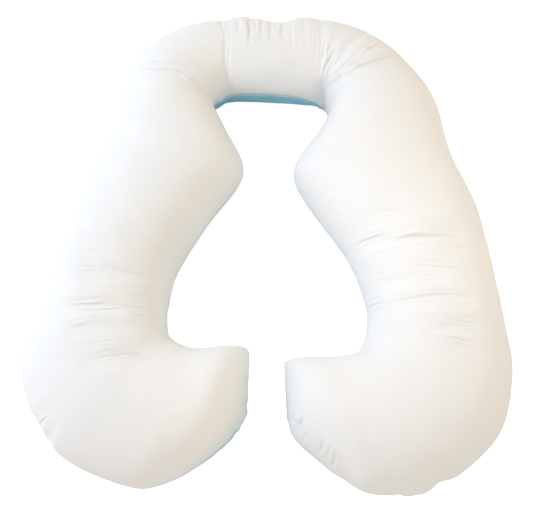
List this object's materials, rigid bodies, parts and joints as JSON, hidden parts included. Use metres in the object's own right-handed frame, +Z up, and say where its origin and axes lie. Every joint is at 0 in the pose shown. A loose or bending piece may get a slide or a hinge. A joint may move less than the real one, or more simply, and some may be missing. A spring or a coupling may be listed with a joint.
{
  "type": "u-shaped body pillow",
  "caption": "Filled U-shaped body pillow with a white face, a pale blue back, a bridge sewn between two long legs, and feet that curl in.",
  "frame": {"origin": "on the surface that the pillow lies on, under the middle of its box", "axes": "+Z up out of the white face, +Y from the two feet to the bridge, +X across to the right leg"},
  "size_m": [1.134, 1.268, 0.2148],
  "materials": {
    "white_face": "smooth brushed white cloth with a soft sheen",
    "blue_back": "smooth brushed pale blue cloth, matte"
  },
  "bodies": {
    "root": {"pillow_body": "white_face", "back_panel": "blue_back"}
  },
  "joints": []
}
